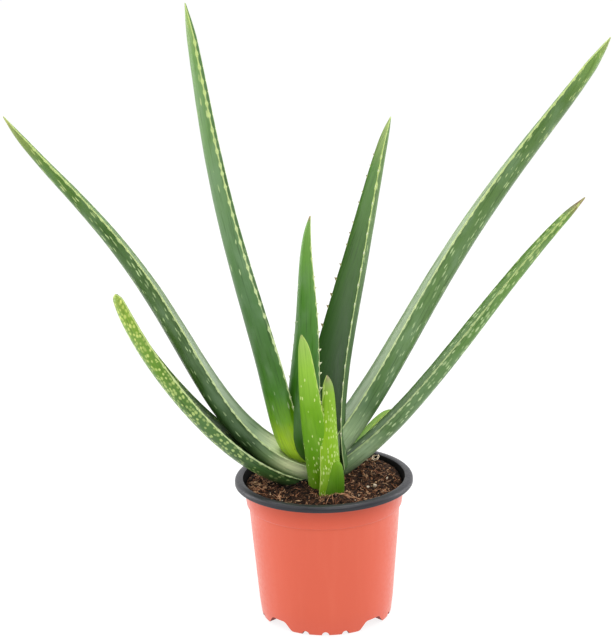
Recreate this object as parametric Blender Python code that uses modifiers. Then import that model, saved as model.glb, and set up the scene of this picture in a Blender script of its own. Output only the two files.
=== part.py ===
"""A young aloe with two offsets in a terracotta nursery pot with a dark rim.

Metres, Z up. The plant's fan of leaves lies roughly in the XZ plane and -Y is the front.
Everything is built round the pot's axis, then moved so that the middle of the whole
object's footprint stands on the origin.
"""

import math

import bmesh
import bpy
from mathutils import Vector

MM = 0.001

# Clearances
TOUCH_GAP = 0.35 * MM  # between any two pieces that press against each other
SOIL_TO_WALL = 0.3 * MM
SOIL_TO_FLOOR = 0.3 * MM

# Pot
POT_HEIGHT = 97.6 * MM
RIM_RADIUS = 60.0 * MM
RIM_WIDTH = 5.2 * MM
RIM_OPENING_RADIUS = RIM_RADIUS - RIM_WIDTH
RIM_LIP_DROP = 4.0 * MM
RIM_LIP_THICKNESS = 0.9 * MM
RIM_FLANGE_THICKNESS = 1.2 * MM
COLLAR_TOP_RADIUS = RIM_OPENING_RADIUS - 0.6 * MM
COLLAR_BOTTOM_RADIUS = COLLAR_TOP_RADIUS - 1.8 * MM
COLLAR_HEIGHT = 18.2 * MM
LEDGE_DEPTH = 1.3 * MM
WALL_FOOT_RADIUS = 0.76 * RIM_RADIUS
WALL_FOOT_HEIGHT = 11.0 * MM
BASE_RADIUS = WALL_FOOT_RADIUS - 1.3 * MM
BASE_EDGE_ROUND = 0.8 * MM
WALL_THICKNESS = 1.0 * MM
FOOT_HEIGHT = 6.5 * MM
FOOT_RING_WIDTH = 8.5 * MM
FOOT_COUNT = 4
FOOT_TURN = -1.8  # degrees from the front to the middle of the first foot
FOOT_GAP_BOTTOM_WIDTH = 0.51 * BASE_RADIUS
FOOT_GAP_TOP_WIDTH = 0.27 * BASE_RADIUS
NOTCH_RADIUS = 2.4 * MM
NOTCH_AXIS_HEIGHT = 0.3 * MM
NOTCH_SPREAD = 17.5  # degrees between neighbouring notches of one foot
POT_SEGMENTS = 60
COLLAR_LEDGE_RISE = 0.8 * MM
UNDER_FLANGE = POT_HEIGHT - RIM_FLANGE_THICKNESS - 0.8 * MM
COLLAR_BOTTOM = POT_HEIGHT - COLLAR_HEIGHT - COLLAR_LEDGE_RISE
BELOW_LEDGE_RADIUS = COLLAR_BOTTOM_RADIUS - LEDGE_DEPTH

# Soil
SOIL_EDGE_DROP = 6.2 * MM  # below the rim's top, at the wall
SOIL_MOUND_RISE = 5.4 * MM  # of the middle over the edge
SOIL_EDGE = POT_HEIGHT - SOIL_EDGE_DROP
SOIL_MIDDLE = SOIL_EDGE + SOIL_MOUND_RISE

# Stems
MAIN_STEM_RADIUS = 8.5 * MM
MAIN_STEM_TOP = 12.2 * MM  # above the middle of the soil
OFFSET_STEM_RADIUS = 5.5 * MM
STEM_BURIED = 24.0 * MM  # length of a stem below the soil's top
STEM_SEGMENTS = 24

# Leaf section: a deep keel below two thin margins, with a shallow channel between them
CHANNEL_SHARE = 0.35  # depth of the channel over that of the keel
MARGIN_HALF_THICKNESS = 0.6 * MM
TIP_HALF_WIDTH = 0.5 * MM
LEAF_STATIONS = 20
SIDE_POINTS = 8  # on the keel, and the same on the channel above it

# Feet of the three plants, from the pot's axis
MAIN_CROWN = Vector((-1.0, 6.0, 0.0)) * MM
FRONT_OFFSET_FOOT = Vector((2.5, -25.5, 0.0)) * MM
BACK_OFFSET_FOOT = Vector((19.0, 28.0, 0.0)) * MM


def clear_scene():
    for thing in list(bpy.data.objects):
        bpy.data.objects.remove(thing, do_unlink=True)


def collection(name):
    made = bpy.data.collections.new(name)
    bpy.context.scene.collection.children.link(made)
    return made


def material(name, colour, roughness):
    made = bpy.data.materials.new(name)
    made.use_nodes = True
    shader = made.node_tree.nodes["Principled BSDF"]
    shader.inputs["Base Color"].default_value = (*colour, 1.0)
    shader.inputs["Roughness"].default_value = roughness
    shader.inputs["Metallic"].default_value = 0.0
    return made


def object_from(name, bm, group, look=None):
    bmesh.ops.recalc_face_normals(bm, faces=bm.faces)
    mesh = bpy.data.meshes.new(name)
    bm.to_mesh(mesh)
    bm.free()
    mesh.shade_smooth()
    made = bpy.data.objects.new(name, mesh)
    if look:
        mesh.materials.append(look)
    group.objects.link(made)
    return made


def turned(name, profile, segments, group, look=None, axis=Vector((0, 0, 0))):
    """A solid of revolution. The profile runs from the axis at the top, down the outside, to the axis."""
    mesh = bpy.data.meshes.new(name)
    points = [(radius, 0.0, height) for radius, height in profile]
    mesh.from_pydata(points, [(i, i + 1) for i in range(len(points) - 1)], [])
    made = bpy.data.objects.new(name, mesh)
    made.location = axis
    group.objects.link(made)
    screw = made.modifiers.new("turn", "SCREW")
    screw.steps = segments
    screw.render_steps = segments
    screw.use_merge_vertices = True
    screw.merge_threshold = 0.00001
    screw.use_smooth_shade = True
    if look:
        mesh.materials.append(look)
    return made


def difference(made, cutter):
    cut = made.modifiers.new("cut_" + cutter.name, "BOOLEAN")
    cut.operation = "DIFFERENCE"
    cut.solver = "EXACT"
    cut.object = cutter


# Leaves


def eased(values, share):
    """A smooth curve through values given at equal shares of a leaf's length."""
    last = len(values) - 1
    total = 0.0
    for i, value in enumerate(values):
        weight = 1.0
        for j in range(len(values)):
            if j != i:
                weight *= (share * last - j) / (i - j)
        total += value * weight
    return total


def leaf_frames(leaf):
    """Points along the leaf, with the way it grows, its upper side and its width direction."""
    length = leaf["length"] * MM
    place = Vector(leaf["base"]) * MM + Vector((0, 0, SOIL_MIDDLE))
    heel_angle, heel_length = leaf.get("heel", (0.0, 1.0))
    frames = []
    before = None
    for k in range(LEAF_STATIONS + 1):
        share = (k / LEAF_STATIONS) ** 1.3
        heel = heel_angle * math.exp(-share * leaf["length"] / heel_length)
        climb = math.radians(eased(leaf["climb"], share) - heel)
        heading = math.radians(eased(leaf["heading"], share))
        roll = math.radians(eased(leaf["roll"], share))
        level = Vector((math.cos(heading), math.sin(heading), 0))
        along = level * math.cos(climb) + Vector((0, 0, math.sin(climb)))
        upper = Vector((0, 0, math.cos(climb))) - level * math.sin(climb)
        across = along.cross(upper)
        if before:
            step = (share - before[0]) * length
            place = place + (along + before[1]) * 0.5 * step
        before = (share, along)
        rolled_upper = upper * math.cos(roll) + across * math.sin(roll)
        rolled_across = across * math.cos(roll) - upper * math.sin(roll)
        frames.append((share, place.copy(), along, rolled_upper, rolled_across))
    return frames


def leaf_section(half_width, keel):
    """Outline of the leaf cut across, counter-clockwise from one margin round the keel."""
    margin = min(MARGIN_HALF_THICKNESS, 0.25 * half_width)
    lift = 0.5 * keel * half_width
    outline = []
    for i in range(SIDE_POINTS):
        turn = math.pi * i / (SIDE_POINTS - 1)
        depth = keel * half_width * max(math.sin(turn), 0.0) ** 0.8
        outline.append((half_width * math.cos(turn), lift - depth - margin))
    for i in range(SIDE_POINTS):
        turn = math.pi * (1 - i / (SIDE_POINTS - 1))
        depth = CHANNEL_SHARE * keel * half_width * max(math.sin(turn), 0.0) ** 1.3
        outline.append((half_width * math.cos(turn), lift - depth + margin))
    return outline


def grown(outline, by):
    """The outline moved out by the given distance."""
    area = sum(
        a[0] * b[1] - b[0] * a[1] for a, b in zip(outline, outline[1:] + outline[:1])
    )
    side = 1.0 if area > 0 else -1.0
    moved = []
    for i, point in enumerate(outline):
        before = outline[i - 1]
        after = outline[(i + 1) % len(outline)]
        out = Vector((after[1] - before[1], before[0] - after[0])).normalized() * side
        moved.append((point[0] + out.x * by, point[1] + out.y * by))
    return moved


def leaf_object(name, leaf, group, look=None, grow=0.0):
    """Lofts the leaf's sections from its base to its tip."""
    frames = leaf_frames(leaf)
    half_base = 0.5 * leaf["width"] * MM
    bm = bmesh.new()
    rings = []
    for k, (share, place, along, upper, across) in enumerate(frames):
        half_width = max(half_base * (1 - share) ** leaf["taper"], TIP_HALF_WIDTH)
        outline = leaf_section(half_width, leaf["keel"])
        if grow:
            outline = grown(outline, grow)
            if k == 0:
                place = place - along * grow
            if k == LEAF_STATIONS:
                place = place + along * grow
        rings.append([bm.verts.new(place + across * x + upper * y) for x, y in outline])
    for one, two in zip(rings, rings[1:]):
        for i in range(len(one)):
            j = (i + 1) % len(one)
            bm.faces.new((one[i], one[j], two[j], two[i]))
    for ring in (rings[0], rings[-1]):
        for i in range(SIDE_POINTS - 1):
            bm.faces.new((ring[i], ring[i + 1], ring[-2 - i], ring[-1 - i]))
    return object_from(name, bm, group, look)


def box_of(thing):
    points = [thing.matrix_world @ Vector(corner) for corner in thing.bound_box]
    low = [min(p[i] for p in points) for i in range(3)]
    high = [max(p[i] for p in points) for i in range(3)]
    return low, high


def boxes_meet(one, two):
    (low_a, high_a), (low_b, high_b) = box_of(one), box_of(two)
    return all(low_a[i] < high_b[i] and low_b[i] < high_a[i] for i in range(3))


def keep_main_body(thing):
    """Makes the cuts real and drops the crumbs that a cut leaves loose."""
    bpy.context.view_layer.update()
    graph = bpy.context.evaluated_depsgraph_get()
    cut = bpy.data.meshes.new_from_object(thing.evaluated_get(graph))
    thing.modifiers.clear()
    thing.data = cut
    bm = bmesh.new()
    bm.from_mesh(cut)
    bmesh.ops.remove_doubles(bm, verts=bm.verts, dist=0.002 * MM)
    bmesh.ops.dissolve_degenerate(bm, edges=bm.edges, dist=0.002 * MM)
    left = set(bm.verts)
    bodies = []
    while left:
        body = {left.pop()}
        edge = list(body)
        while edge:
            vert = edge.pop()
            for link in vert.link_edges:
                other = link.other_vert(vert)
                if other in left:
                    left.remove(other)
                    body.add(other)
                    edge.append(other)
        bodies.append(body)
    biggest = max(bodies, key=len)
    bmesh.ops.delete(bm, geom=[v for v in bm.verts if v not in biggest], context="VERTS")
    bmesh.ops.triangulate(bm, faces=bm.faces)
    bm.to_mesh(cut)
    bm.free()
    cut.shade_smooth()


# Pot


def pot_outside():
    lip_bottom = POT_HEIGHT - RIM_LIP_DROP
    return [
        (0.0, POT_HEIGHT),
        (RIM_OPENING_RADIUS + 0.6 * MM, POT_HEIGHT),
        (RIM_RADIUS - 2.4 * MM, POT_HEIGHT - 0.1 * MM),
        (RIM_RADIUS - 0.8 * MM, POT_HEIGHT - 0.7 * MM),
        (RIM_RADIUS, POT_HEIGHT - 2.0 * MM),
        (RIM_RADIUS, lip_bottom + 0.2 * MM),
        (RIM_RADIUS - 0.3 * MM, lip_bottom),
        (RIM_RADIUS - RIM_LIP_THICKNESS, lip_bottom),
        (RIM_RADIUS - RIM_LIP_THICKNESS - 0.2 * MM, UNDER_FLANGE - 0.3 * MM),
        (RIM_RADIUS - 2.2 * MM, UNDER_FLANGE),
        (COLLAR_TOP_RADIUS + 1.4 * MM, UNDER_FLANGE),
        (COLLAR_TOP_RADIUS + 0.3 * MM, UNDER_FLANGE - 1.2 * MM),
        (COLLAR_BOTTOM_RADIUS, COLLAR_BOTTOM + COLLAR_LEDGE_RISE),
        (BELOW_LEDGE_RADIUS, COLLAR_BOTTOM),
        (WALL_FOOT_RADIUS, WALL_FOOT_HEIGHT),
        (BASE_RADIUS, BASE_EDGE_ROUND),
        (BASE_RADIUS - BASE_EDGE_ROUND, 0.0),
        (BASE_RADIUS - FOOT_RING_WIDTH + BASE_EDGE_ROUND, 0.0),
        (BASE_RADIUS - FOOT_RING_WIDTH, BASE_EDGE_ROUND),
        (BASE_RADIUS - FOOT_RING_WIDTH - 0.8 * MM, FOOT_HEIGHT),
        (0.0, FOOT_HEIGHT),
    ]


def pot_inside():
    floor = FOOT_HEIGHT + WALL_THICKNESS
    return [
        (0.0, POT_HEIGHT + 5 * MM),
        (RIM_OPENING_RADIUS + 0.3 * MM, POT_HEIGHT + 5 * MM),
        (RIM_OPENING_RADIUS, POT_HEIGHT - 0.5 * MM),
        (COLLAR_TOP_RADIUS + 0.3 * MM - WALL_THICKNESS, UNDER_FLANGE - 1.2 * MM),
        (COLLAR_BOTTOM_RADIUS - WALL_THICKNESS, COLLAR_BOTTOM + COLLAR_LEDGE_RISE),
        (BELOW_LEDGE_RADIUS - WALL_THICKNESS, COLLAR_BOTTOM),
        (WALL_FOOT_RADIUS - WALL_THICKNESS, WALL_FOOT_HEIGHT),
        (BASE_RADIUS - WALL_THICKNESS, BASE_EDGE_ROUND + WALL_THICKNESS),
        (BASE_RADIUS - BASE_EDGE_ROUND - WALL_THICKNESS, WALL_THICKNESS),
        (BASE_RADIUS - FOOT_RING_WIDTH + BASE_EDGE_ROUND + WALL_THICKNESS, WALL_THICKNESS),
        (BASE_RADIUS - FOOT_RING_WIDTH + WALL_THICKNESS, BASE_EDGE_ROUND + WALL_THICKNESS),
        (BASE_RADIUS - FOOT_RING_WIDTH - 0.8 * MM + WALL_THICKNESS, floor),
        (0.0, floor),
    ]


def foot_gaps(name, grow, group):
    """The gaps between the feet, made larger by grow."""
    bm = bmesh.new()
    near = BASE_RADIUS - FOOT_RING_WIDTH - 4 * MM - grow
    far = BASE_RADIUS + 8 * MM
    below = 3 * MM
    slope = (FOOT_GAP_BOTTOM_WIDTH - FOOT_GAP_TOP_WIDTH) / 2 / FOOT_HEIGHT
    for foot in range(FOOT_COUNT):
        turn = math.radians(360 * (foot + 0.5) / FOOT_COUNT + FOOT_TURN - 90)
        out = Vector((math.cos(turn), math.sin(turn), 0))
        side = Vector((-out.y, out.x, 0))
        half_bottom = FOOT_GAP_BOTTOM_WIDTH / 2 + slope * below + grow
        half_top = FOOT_GAP_TOP_WIDTH / 2 + grow
        ends = []
        for reach in (near, far):
            ends.append(
                [
                    bm.verts.new(out * reach + side * x + Vector((0, 0, z)))
                    for x, z in (
                        (-half_bottom, -below),
                        (half_bottom, -below),
                        (half_top, FOOT_HEIGHT + grow - 0.01 * MM),
                        (-half_top, FOOT_HEIGHT + grow - 0.01 * MM),
                    )
                ]
            )
        bm.faces.new(ends[0])
        bm.faces.new(ends[1])
        for i in range(4):
            j = (i + 1) % 4
            bm.faces.new((ends[0][i], ends[0][j], ends[1][j], ends[1][i]))
    return object_from(name, bm, group)


def foot_notches(name, grow, group):
    """The small notches under each foot, made larger by grow."""
    bm = bmesh.new()
    near = BASE_RADIUS - FOOT_RING_WIDTH - 4 * MM - grow
    far = BASE_RADIUS + 8 * MM
    for foot in range(FOOT_COUNT):
        for step in (-1, 0, 1):
            turn = math.radians(
                360 * foot / FOOT_COUNT + FOOT_TURN + NOTCH_SPREAD * step - 90
            )
            out = Vector((math.cos(turn), math.sin(turn), 0))
            before = len(bm.verts)
            bmesh.ops.create_cone(
                bm,
                cap_ends=True,
                segments=12,
                radius1=NOTCH_RADIUS + grow,
                radius2=NOTCH_RADIUS + grow,
                depth=far - near,
            )
            bm.verts.ensure_lookup_table()
            fresh = [bm.verts[i] for i in range(before, len(bm.verts))]
            turned_out = out.to_track_quat("Z", "X").to_matrix()
            bmesh.ops.rotate(bm, verts=fresh, cent=(0, 0, 0), matrix=turned_out)
            lift = Vector((0, 0, NOTCH_AXIS_HEIGHT))
            bmesh.ops.translate(bm, verts=fresh, vec=out * (near + far) / 2 + lift)
    return object_from(name, bm, group)


def build_pot(group, cutters):
    look = material("pot_plastic", (0.72, 0.16, 0.09), 0.42)
    pot = turned("nursery_pot", pot_outside(), POT_SEGMENTS, group, look)
    cavity = turned("cutter_pot_cavity", pot_inside(), POT_SEGMENTS, cutters)
    difference(cavity, foot_gaps("cutter_inner_gaps", WALL_THICKNESS, cutters))
    difference(cavity, foot_notches("cutter_inner_notches", WALL_THICKNESS, cutters))
    difference(pot, foot_gaps("cutter_outer_gaps", 0.0, cutters))
    difference(pot, foot_notches("cutter_outer_notches", 0.0, cutters))
    difference(pot, cavity)
    return pot


def soil_top(radius):
    """Height of the soil at this distance from the pot's axis."""
    share = min(radius / COLLAR_BOTTOM_RADIUS, 1.0)
    return SOIL_EDGE + SOIL_MOUND_RISE * (1 - share**2) ** 1.5


def build_soil(group):
    look = material("peat", (0.035, 0.022, 0.015), 0.95)
    collar_slope = (COLLAR_TOP_RADIUS + 0.3 * MM - COLLAR_BOTTOM_RADIUS) / (
        UNDER_FLANGE - 1.2 * MM - COLLAR_BOTTOM - COLLAR_LEDGE_RISE
    )
    inward = WALL_THICKNESS + SOIL_TO_WALL
    over_ledge = SOIL_EDGE - COLLAR_BOTTOM - COLLAR_LEDGE_RISE
    edge_radius = COLLAR_BOTTOM_RADIUS + collar_slope * over_ledge - inward
    wall_slope = (BELOW_LEDGE_RADIUS - WALL_FOOT_RADIUS) / (
        COLLAR_BOTTOM - WALL_FOOT_HEIGHT
    )
    bottom = FOOT_HEIGHT + WALL_THICKNESS + SOIL_TO_FLOOR
    bottom_radius = BASE_RADIUS - inward
    rings = [0.0, 0.15, 0.3, 0.45, 0.6, 0.75, 0.9]
    profile = [(edge_radius * share, soil_top(edge_radius * share)) for share in rings]
    profile += [
        (edge_radius, SOIL_EDGE),
        (COLLAR_BOTTOM_RADIUS - inward, COLLAR_BOTTOM + COLLAR_LEDGE_RISE + SOIL_TO_WALL),
        (BELOW_LEDGE_RADIUS - inward, COLLAR_BOTTOM),
        (WALL_FOOT_RADIUS - inward, WALL_FOOT_HEIGHT + inward * wall_slope),
        (bottom_radius, bottom),
        (0.0, bottom),
    ]
    return turned("potting_soil", profile, POT_SEGMENTS - 12, group, look)


# Stems


def stem_profile(radius, top, bottom, grow=0.0):
    return [
        (0.0, top + grow),
        (radius * 0.55 + grow, top + grow),
        (radius + grow, top - radius * 1.2),
        (radius + grow, bottom + radius * 0.5),
        (radius * 0.6 + grow, bottom - grow),
        (0.0, bottom - grow),
    ]


STEMS = {
    "main_stem": {
        "foot": MAIN_CROWN,
        "radius": MAIN_STEM_RADIUS,
        "top": MAIN_STEM_TOP,
    },
    "front_offset_stem": {
        "foot": FRONT_OFFSET_FOOT,
        "radius": OFFSET_STEM_RADIUS,
        "top": -1.8 * MM,
    },
    "back_offset_stem": {
        "foot": BACK_OFFSET_FOOT,
        "radius": OFFSET_STEM_RADIUS * 0.75,
        "top": -1.3 * MM,
    },
}

# Leaves, innermost first. base, length and width are in millimetres, base from the pot's axis
# and the middle of the soil. climb is the angle over the horizontal at four equal shares of the
# length, and heading is the compass direction from +X. keel is the depth of the underside over
# the half width. heel turns the first part down.
LEAVES = {
    "leaf_centre_young": {
        "base": (-5.8, 4, 12.5),
        "length": 176,
        "width": 28.4,
        "taper": 0.66,
        "keel": 0.6,
        "climb": (20, 97, 91.8, 116.5),
        "heading": (248, 233),
        "roll": (4, 0),
    },
    "leaf_right_inner": {
        "base": (3.5, 10, 7.2),
        "length": 237,
        "width": 36,
        "taper": 0.51,
        "keel": 0.69,
        "climb": (99, 70, 71, 67),
        "heading": (54, 39),
        "roll": (-2, -23),
    },
    "leaf_left_tall": {
        "base": (-12.7, 8, 11.2),
        "length": 330,
        "width": 24,
        "taper": 0.38,
        "keel": 0.59,
        "climb": (91, 72.5, 78, 80.5),
        "heading": (227, 217),
        "roll": (3, -5),
        "heel": (80, 16),
    },
    "leaf_right_long": {
        "base": (1.3, 8, 10.2),
        "length": 337,
        "width": 31.5,
        "taper": 0.29,
        "keel": 0.98,
        "climb": (45, 59.5, 53, 57),
        "heading": (12, 4),
        "roll": (-7, -16),
    },
    "leaf_left_long": {
        "base": (-5, 2, 4.2),
        "length": 320,
        "width": 29.5,
        "taper": 0.48,
        "keel": 1.0,
        "climb": (8, 62, 54.5, 57.5),
        "heading": (184.5, 185.5),
        "roll": (-6, 7),
    },
    "leaf_right_low": {
        "base": (8.5, 8, 0.2),
        "length": 249,
        "width": 22.5,
        "taper": 0.44,
        "keel": 1.0,
        "climb": (31.5, 48, 50.5, 43.5),
        "heading": (10, 8),
        "roll": (-14, 0),
    },
    "leaf_left_low": {
        "base": (-8, 0, -1.8),
        "length": 193,
        "width": 28,
        "taper": 0.24,
        "keel": 0.84,
        "climb": (7, 43, 56.5, 72.5),
        "heading": (189, 187),
        "roll": (-11, 12),
    },
    "front_offset_leaf_short": {
        "base": (4.5, -29, -1.2),
        "length": 81,
        "width": 16.5,
        "taper": 0.31,
        "keel": 0.6,
        "climb": (79, 93, 89, 104),
        "heading": (310, 320),
        "roll": (-1, -2),
    },
    "front_offset_leaf_tall": {
        "base": (-1, -22.5, -2.2),
        "length": 114,
        "width": 20,
        "taper": 0.4,
        "keel": 0.55,
        "climb": (80, 77.5, 83, 81),
        "heading": (238, 225),
        "roll": (17, 15),
    },
    "front_offset_sheath": {
        "base": (7.5, -30, -3.2),
        "length": 25,
        "width": 17,
        "taper": 0.35,
        "keel": 0.6,
        "climb": (84, 86, 88, 92),
        "heading": (318, 322),
        "roll": (0, -18),
    },
    "back_offset_leaf": {
        "base": (19, 28, 0.2),
        "length": 46,
        "width": 9,
        "taper": 0.3,
        "keel": 0.7,
        "climb": (69, 53, 43, 21),
        "heading": (20, 15),
        "roll": (-3, 1),
    },
}


def build_plant(group, cutters):
    """Each stem and leaf gives way to the ones further in, with a small gap between them."""
    stem_look = material("stem_flesh", (0.42, 0.5, 0.2), 0.6)
    leaf_look = material("aloe_leaf", (0.1, 0.2, 0.08), 0.4)
    fresh_look = material("aloe_leaf_fresh", (0.25, 0.45, 0.05), 0.4)
    settled = []
    for name, stem in STEMS.items():
        axis = stem["foot"] + Vector((0, 0, SOIL_MIDDLE))
        bottom = -SOIL_MOUND_RISE - STEM_BURIED
        solid = stem_profile(stem["radius"], stem["top"], bottom)
        turned(name, solid, STEM_SEGMENTS, group, stem_look, axis)
        larger = stem_profile(stem["radius"], stem["top"], bottom, TOUCH_GAP)
        settled.append(turned("cutter_" + name, larger, STEM_SEGMENTS, cutters, None, axis))
    for name, leaf in LEAVES.items():
        look = fresh_look if "offset" in name else leaf_look
        made = leaf_object(name, leaf, group, look)
        bpy.context.view_layer.update()
        for cutter in settled:
            if boxes_meet(made, cutter):
                difference(made, cutter)
        keep_main_body(made)
        settled.append(leaf_object("cutter_" + name, leaf, cutters, None, TOUCH_GAP))
    return settled


def stand_on_origin(cutters):
    """Moves everything so that the object's footprint is centred and its feet are at zero."""
    bpy.context.view_layer.update()
    graph = bpy.context.evaluated_depsgraph_get()
    helpers = set(cutters.objects)
    low = Vector((1e9, 1e9, 1e9))
    high = -low
    for thing in bpy.data.objects:
        if thing in helpers:
            continue
        one, two = box_of(thing.evaluated_get(graph))
        low = Vector(map(min, low, one))
        high = Vector(map(max, high, two))
    shift = Vector((-(low.x + high.x) / 2, -(low.y + high.y) / 2, -low.z))
    for thing in bpy.data.objects:
        thing.location = thing.location + shift


def main():
    clear_scene()
    group = collection("potted_aloe")
    cutters = collection("cutters")
    build_pot(group, cutters)
    soil = build_soil(group)
    settled = build_plant(group, cutters)
    bpy.context.view_layer.update()
    for cutter in settled:
        if boxes_meet(soil, cutter):
            difference(soil, cutter)
    keep_main_body(soil)
    for helper in cutters.objects:
        helper.hide_render = True
        helper.display_type = "WIRE"
    stand_on_origin(cutters)


main()
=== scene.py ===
"""Looks of the potted aloe: finely lofted leaves, a two-tone pot and loose peat soil.

Metres, Z up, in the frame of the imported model. Lengths in the tables are in millimetres.
"""

import random
from math import ceil, cos, dist, exp, hypot, pi, radians, sin

import bmesh
import bpy
from mathutils import Matrix, Vector, noise


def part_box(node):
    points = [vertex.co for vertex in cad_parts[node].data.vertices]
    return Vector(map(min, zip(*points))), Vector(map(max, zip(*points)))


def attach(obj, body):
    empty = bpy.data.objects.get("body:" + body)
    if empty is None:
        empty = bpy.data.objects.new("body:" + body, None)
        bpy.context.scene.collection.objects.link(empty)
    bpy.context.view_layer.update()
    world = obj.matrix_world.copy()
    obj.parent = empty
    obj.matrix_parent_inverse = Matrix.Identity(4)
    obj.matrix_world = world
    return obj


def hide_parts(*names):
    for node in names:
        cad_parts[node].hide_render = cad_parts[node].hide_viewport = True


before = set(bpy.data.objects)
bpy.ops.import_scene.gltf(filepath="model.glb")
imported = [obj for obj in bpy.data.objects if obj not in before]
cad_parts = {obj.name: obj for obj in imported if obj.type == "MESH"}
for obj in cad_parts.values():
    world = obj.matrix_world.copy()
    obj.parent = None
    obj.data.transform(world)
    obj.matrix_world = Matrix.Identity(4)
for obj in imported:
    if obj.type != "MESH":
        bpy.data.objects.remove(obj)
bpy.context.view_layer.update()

MM = 0.001
RANDOM = random.Random(11)

POT_LOW, POT_HIGH = (Vector(corner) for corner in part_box("nursery_pot"))
POT_AXIS = Vector(((POT_LOW.x + POT_HIGH.x) / 2, (POT_LOW.y + POT_HIGH.y) / 2, 0.0))
POT_HEIGHT = POT_HIGH.z
SOIL_EDGE = POT_HEIGHT - 6.2 * MM
SOIL_RISE = 5.4 * MM
SOIL_MIDDLE = SOIL_EDGE + SOIL_RISE
SOIL_RADIUS = 52.7 * MM
MOUND_RADIUS = 52.4 * MM


# Colours


def srgb(red, green, blue):
    """Linear colour of screen values from 0 to 255."""
    shares = [value / 255 for value in (red, green, blue)]
    return (*(s / 12.92 if s <= 0.04045 else ((s + 0.055) / 1.055) ** 2.4 for s in shares), 1.0)


# Shader nodes


def node(tree, kind, inputs=None, **settings):
    """Adds a node. Each input is a value or the socket that feeds it."""
    made = tree.nodes.new(kind)
    for key, value in settings.items():
        setattr(made, key, value)
    for key, value in (inputs or {}).items():
        if isinstance(value, bpy.types.NodeSocket):
            tree.links.new(value, made.inputs[key])
        else:
            made.inputs[key].default_value = value
    return made


def calc(tree, operation, *values):
    return node(tree, "ShaderNodeMath", dict(enumerate(values)), operation=operation).outputs[0]


def step(tree, value, low, high, out_low=0.0, out_high=1.0):
    """A smooth step of value from low to high."""
    span = {"From Min": low, "From Max": high, "To Min": out_low, "To Max": out_high}
    inputs = {"Value": value, **span}
    return node(tree, "ShaderNodeMapRange", inputs, interpolation_type="SMOOTHSTEP").outputs[0]


def mix(tree, share, first, second, blend="MIX"):
    inputs = {0: share, 6: first, 7: second}
    return node(tree, "ShaderNodeMix", inputs, data_type="RGBA", blend_type=blend).outputs[2]


def ramp(tree, share, *stops):
    """A colour ramp with stops of (share, red, green, blue), in screen values."""
    made = node(tree, "ShaderNodeValToRGB", {0: share})
    elements = made.color_ramp.elements
    while len(elements) < len(stops):
        elements.new(1.0)
    for element, (place, *colour) in zip(elements, stops):
        element.position = place
        element.color = srgb(*colour)
    return made.outputs[0]


def attribute(tree, name):
    return node(tree, "ShaderNodeAttribute", attribute_name=name).outputs["Fac"]


def noise_at(tree, vector, scale, detail=3.0, roughness=0.5):
    settings = {"Vector": vector, "Scale": scale, "Detail": detail, "Roughness": roughness}
    return node(tree, "ShaderNodeTexNoise", settings).outputs["Fac"]


def stretched(tree, vector, factors):
    return node(tree, "ShaderNodeMapping", {"Vector": vector, "Scale": factors}).outputs[0]


def new_material(name, roughness, specular=0.5):
    made = bpy.data.materials.new(name)
    made.use_nodes = True
    shader = made.node_tree.nodes["Principled BSDF"]
    shader.inputs["Roughness"].default_value = roughness
    shader.inputs["Specular IOR Level"].default_value = specular
    return made, made.node_tree, shader


def object_place(tree):
    return node(tree, "ShaderNodeTexCoord").outputs["Object"]


def surface(tree, shader, colour, height, distance, strength=1.0):
    """Gives the shader its colour and a bump, whose distance is in metres."""
    tree.links.new(colour, shader.inputs["Base Color"])
    relief = {"Height": height, "Distance": distance, "Strength": strength}
    made = node(tree, "ShaderNodeBump", relief)
    tree.links.new(made.outputs[0], shader.inputs["Normal"])


# Meshes


def add_object(name, data):
    made = bpy.data.objects.new(name, data)
    bpy.context.scene.collection.objects.link(made)
    return made


def mesh_of(name, bm, *materials):
    """Turns a bmesh into a mesh and frees it."""
    mesh = bpy.data.meshes.new(name)
    bm.to_mesh(mesh)
    bm.free()
    for look in materials:
        mesh.materials.append(look)
    return mesh


def face_outward(mesh):
    bm = bmesh.new()
    bm.from_mesh(mesh)
    bmesh.ops.recalc_face_normals(bm, faces=bm.faces)
    bm.to_mesh(mesh)
    bm.free()


def circle(count, radius=1.0):
    """(x, y) at count places round a circle."""
    turns = [2 * pi * i / count for i in range(count)]
    return [(radius * cos(turn), radius * sin(turn)) for turn in turns]


def band(faces, low, high, count):
    """Joins two rings of count points that start at low and at high."""
    for i in range(count):
        j = (i + 1) % count
        faces.append((low + i, low + j, high + j, high + i))


def add_ball(points, faces, place_of, subdivisions=2, radius=1.0):
    """Adds an icosphere moved by place_of, and returns how many points and faces it has."""
    ball = bmesh.new()
    bmesh.ops.create_icosphere(ball, subdivisions=subdivisions, radius=radius)
    start = len(points)
    points += [place_of(vert.co) for vert in ball.verts]
    faces += [tuple(start + vert.index for vert in face.verts) for face in ball.faces]
    counts = len(ball.verts), len(ball.faces)
    ball.free()
    return counts


def mesh_piece(name, points, faces, materials, values=None, slots=None, uv=None):
    """A smooth mesh object, with a number per point for each of values and a uv pair per corner."""
    mesh = bpy.data.meshes.new(name)
    mesh.from_pydata([tuple(p) for p in points], [], faces)
    for look in materials:
        mesh.materials.append(look)
    if slots:
        mesh.polygons.foreach_set("material_index", slots)
    for key, numbers in (values or {}).items():
        made = mesh.attributes.new(key, "FLOAT", "POINT")
        made.data.foreach_set("value", numbers)
    if uv:
        layer = mesh.uv_layers.new(name="leaf_mm")
        layer.data.foreach_set("uv", [number for corner in uv for number in corner])
    mesh.shade_smooth()
    mesh.validate()
    return add_object(name, mesh)


def settle(piece, slot, *nodes):
    """Puts a finished piece on the body and in place of its CAD nodes."""
    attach(piece, "root")
    if nodes:
        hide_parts(*nodes)


# Leaf shapes, as the CAD grows them

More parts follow.
